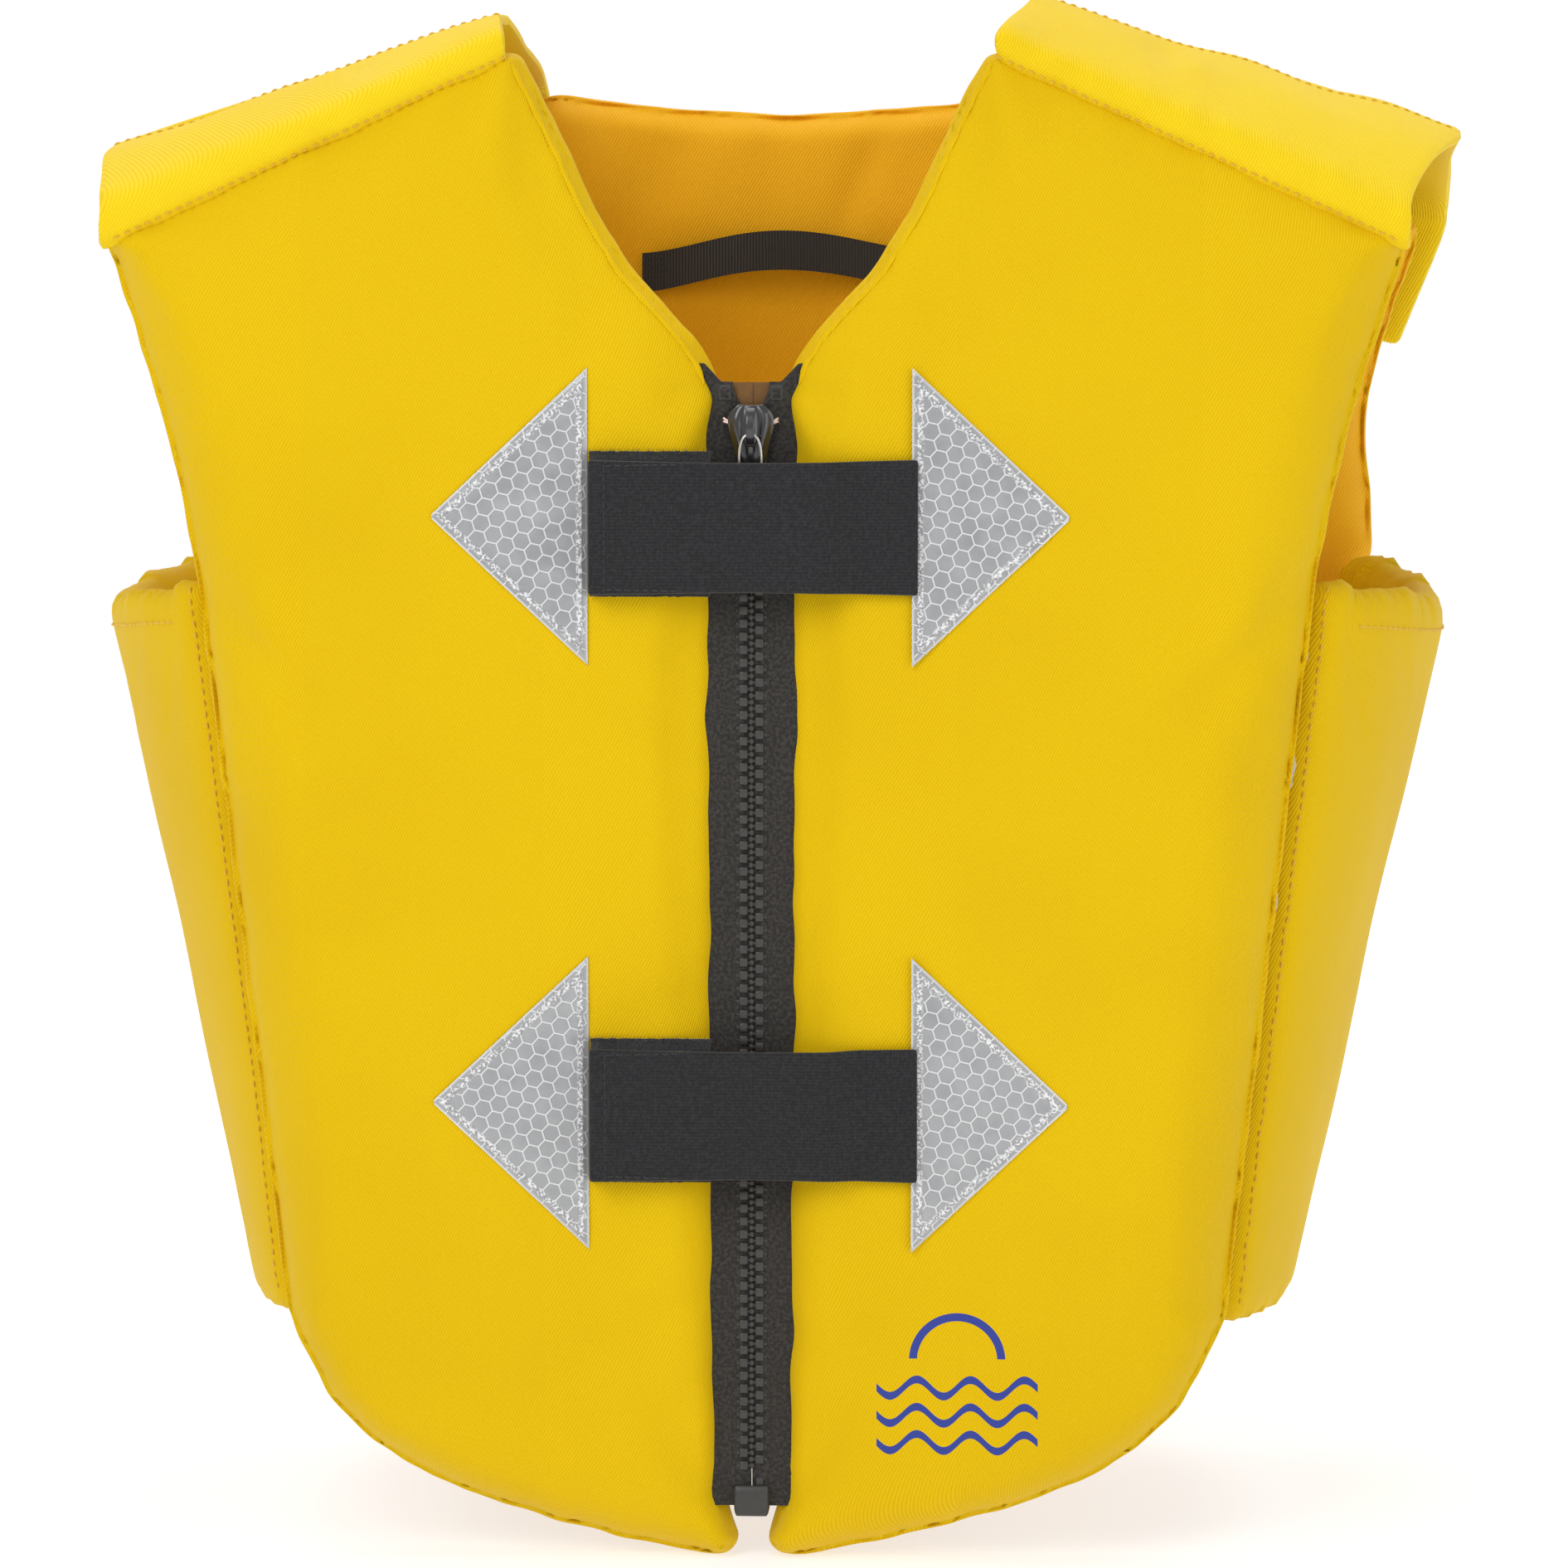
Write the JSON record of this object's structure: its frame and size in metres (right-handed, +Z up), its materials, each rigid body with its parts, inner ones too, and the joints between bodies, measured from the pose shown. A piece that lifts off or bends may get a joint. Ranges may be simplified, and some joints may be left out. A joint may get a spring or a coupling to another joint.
{
  "type": "foam buoyancy vest",
  "caption": "Child's foam buoyancy vest: zipped front halves, back, bowed side panels, elastic closing straps, reflective arrows and shoulder flaps that close on the back.",
  "frame": {"origin": "middle of the vest in plan, at the level of its lowest hem", "axes": "+Z up towards the neck, -Y out of the front, +X towards the wearer's left"},
  "size_m": [0.3582, 0.2032, 0.41],
  "materials": {
    "cover_cloth": "satin",
    "foam": "matte",
    "yellow_tape": "matte",
    "reflective_film": "gloss",
    "black_tape": "matte",
    "elastic_webbing": "matte",
    "black_webbing": "matte",
    "zip_tape": "matte",
    "zip_resin": "satin",
    "pull_metal": "satin"
  },
  "bodies": {
    "back": {"back_cover": "cover_cloth", "back_foam": "foam", "side_cover_left": "cover_cloth", "side_cover_right": "cover_cloth", "side_foam_left": "foam", "side_foam_right": "foam", "hanger_loop": "black_webbing", "shoulder_cap_left": "cover_cloth", "shoulder_cap_right": "cover_cloth", "shoulder_loop_tape_left": "yellow_tape", "shoulder_loop_tape_right": "yellow_tape"},
    "front_left": {"front_cover_left": "cover_cloth", "front_foam_left": "foam", "zip_tape_left": "zip_tape", "zip_teeth_left": "zip_resin", "zip_top_stop_left": "zip_resin", "reflector_upper_left": "reflective_film", "reflector_lower_left": "reflective_film", "zip_pin": "zip_resin"},
    "front_right": {"front_cover_right": "cover_cloth", "front_foam_right": "foam", "zip_tape_right": "zip_tape", "zip_teeth_right": "zip_resin", "zip_top_stop_right": "zip_resin", "reflector_upper_right": "reflective_film", "reflector_lower_right": "reflective_film", "zip_box": "zip_resin", "strap_loop_tape_upper": "black_tape", "strap_loop_tape_lower": "black_tape"},
    "strap_upper": {"strap_upper": "elastic_webbing", "strap_hook_tape_upper": "black_tape"},
    "strap_lower": {"strap_lower": "elastic_webbing", "strap_hook_tape_lower": "black_tape"},
    "zip_slider": {"zip_slider": "zip_resin"},
    "zip_pull": {"zip_pull": "pull_metal"},
    "shoulder_flap_left": {"shoulder_flap_left": "cover_cloth", "shoulder_hook_tape_left": "yellow_tape"},
    "shoulder_flap_right": {"shoulder_flap_right": "cover_cloth", "shoulder_hook_tape_right": "yellow_tape"}
  },
  "joints": [
    {"name": "front_left_open", "type": "hinge", "parent": "back", "child": "front_left", "pos_m": [0.1225, -0.0727, 0.063], "axis": [0.1146, 0, 0.9934], "range_deg": [0, 75], "deforming": ["shoulder_cap_left"]},
    {"name": "front_right_open", "type": "hinge", "parent": "back", "child": "front_right", "pos_m": [-0.1225, -0.0727, 0.063], "axis": [-0.1146, 0, 0.9934], "range_deg": [-75, 0], "deforming": ["shoulder_cap_right"]},
    {"name": "strap_upper_peel", "type": "hinge", "parent": "front_left", "child": "strap_upper", "pos_m": [0.041, -0.0986, 0.2705], "axis": [0, 0, 1], "range_deg": [0, 150]},
    {"name": "strap_lower_peel", "type": "hinge", "parent": "front_left", "child": "strap_lower", "pos_m": [0.041, -0.0986, 0.118], "axis": [0, 0, 1], "range_deg": [0, 150]},
    {"name": "zip_slide", "type": "slide", "parent": "front_right", "child": "zip_slider", "axis": [0, 0, -1], "range_m": [0, 0.264], "deforming": ["zip_teeth_left", "zip_teeth_right"]},
    {"name": "zip_pull_lift", "type": "hinge", "parent": "zip_slider", "child": "zip_pull", "pos_m": [0, -0.09395, 0.2937], "axis": [-1, 0, 0], "range_deg": [0, 90]},
    {"name": "shoulder_flap_left_peel", "type": "hinge", "parent": "back", "child": "shoulder_flap_left", "pos_m": [0.1245, -0.0113, 0.392], "axis": [0.9478, 0, -0.3189], "range_deg": [0, 100]},
    {"name": "shoulder_flap_right_peel", "type": "hinge", "parent": "back", "child": "shoulder_flap_right", "pos_m": [-0.1245, -0.0113, 0.392], "axis": [0.9478, 0, 0.3189], "range_deg": [0, 100]}
  ],
  "couplings": [
    {"joint": "front_right_open", "follows": "front_left_open", "ratio": -1},
    {"joint": "zip_pull_lift", "follows": "strap_upper_peel", "ratio": 0.6}
  ]
}
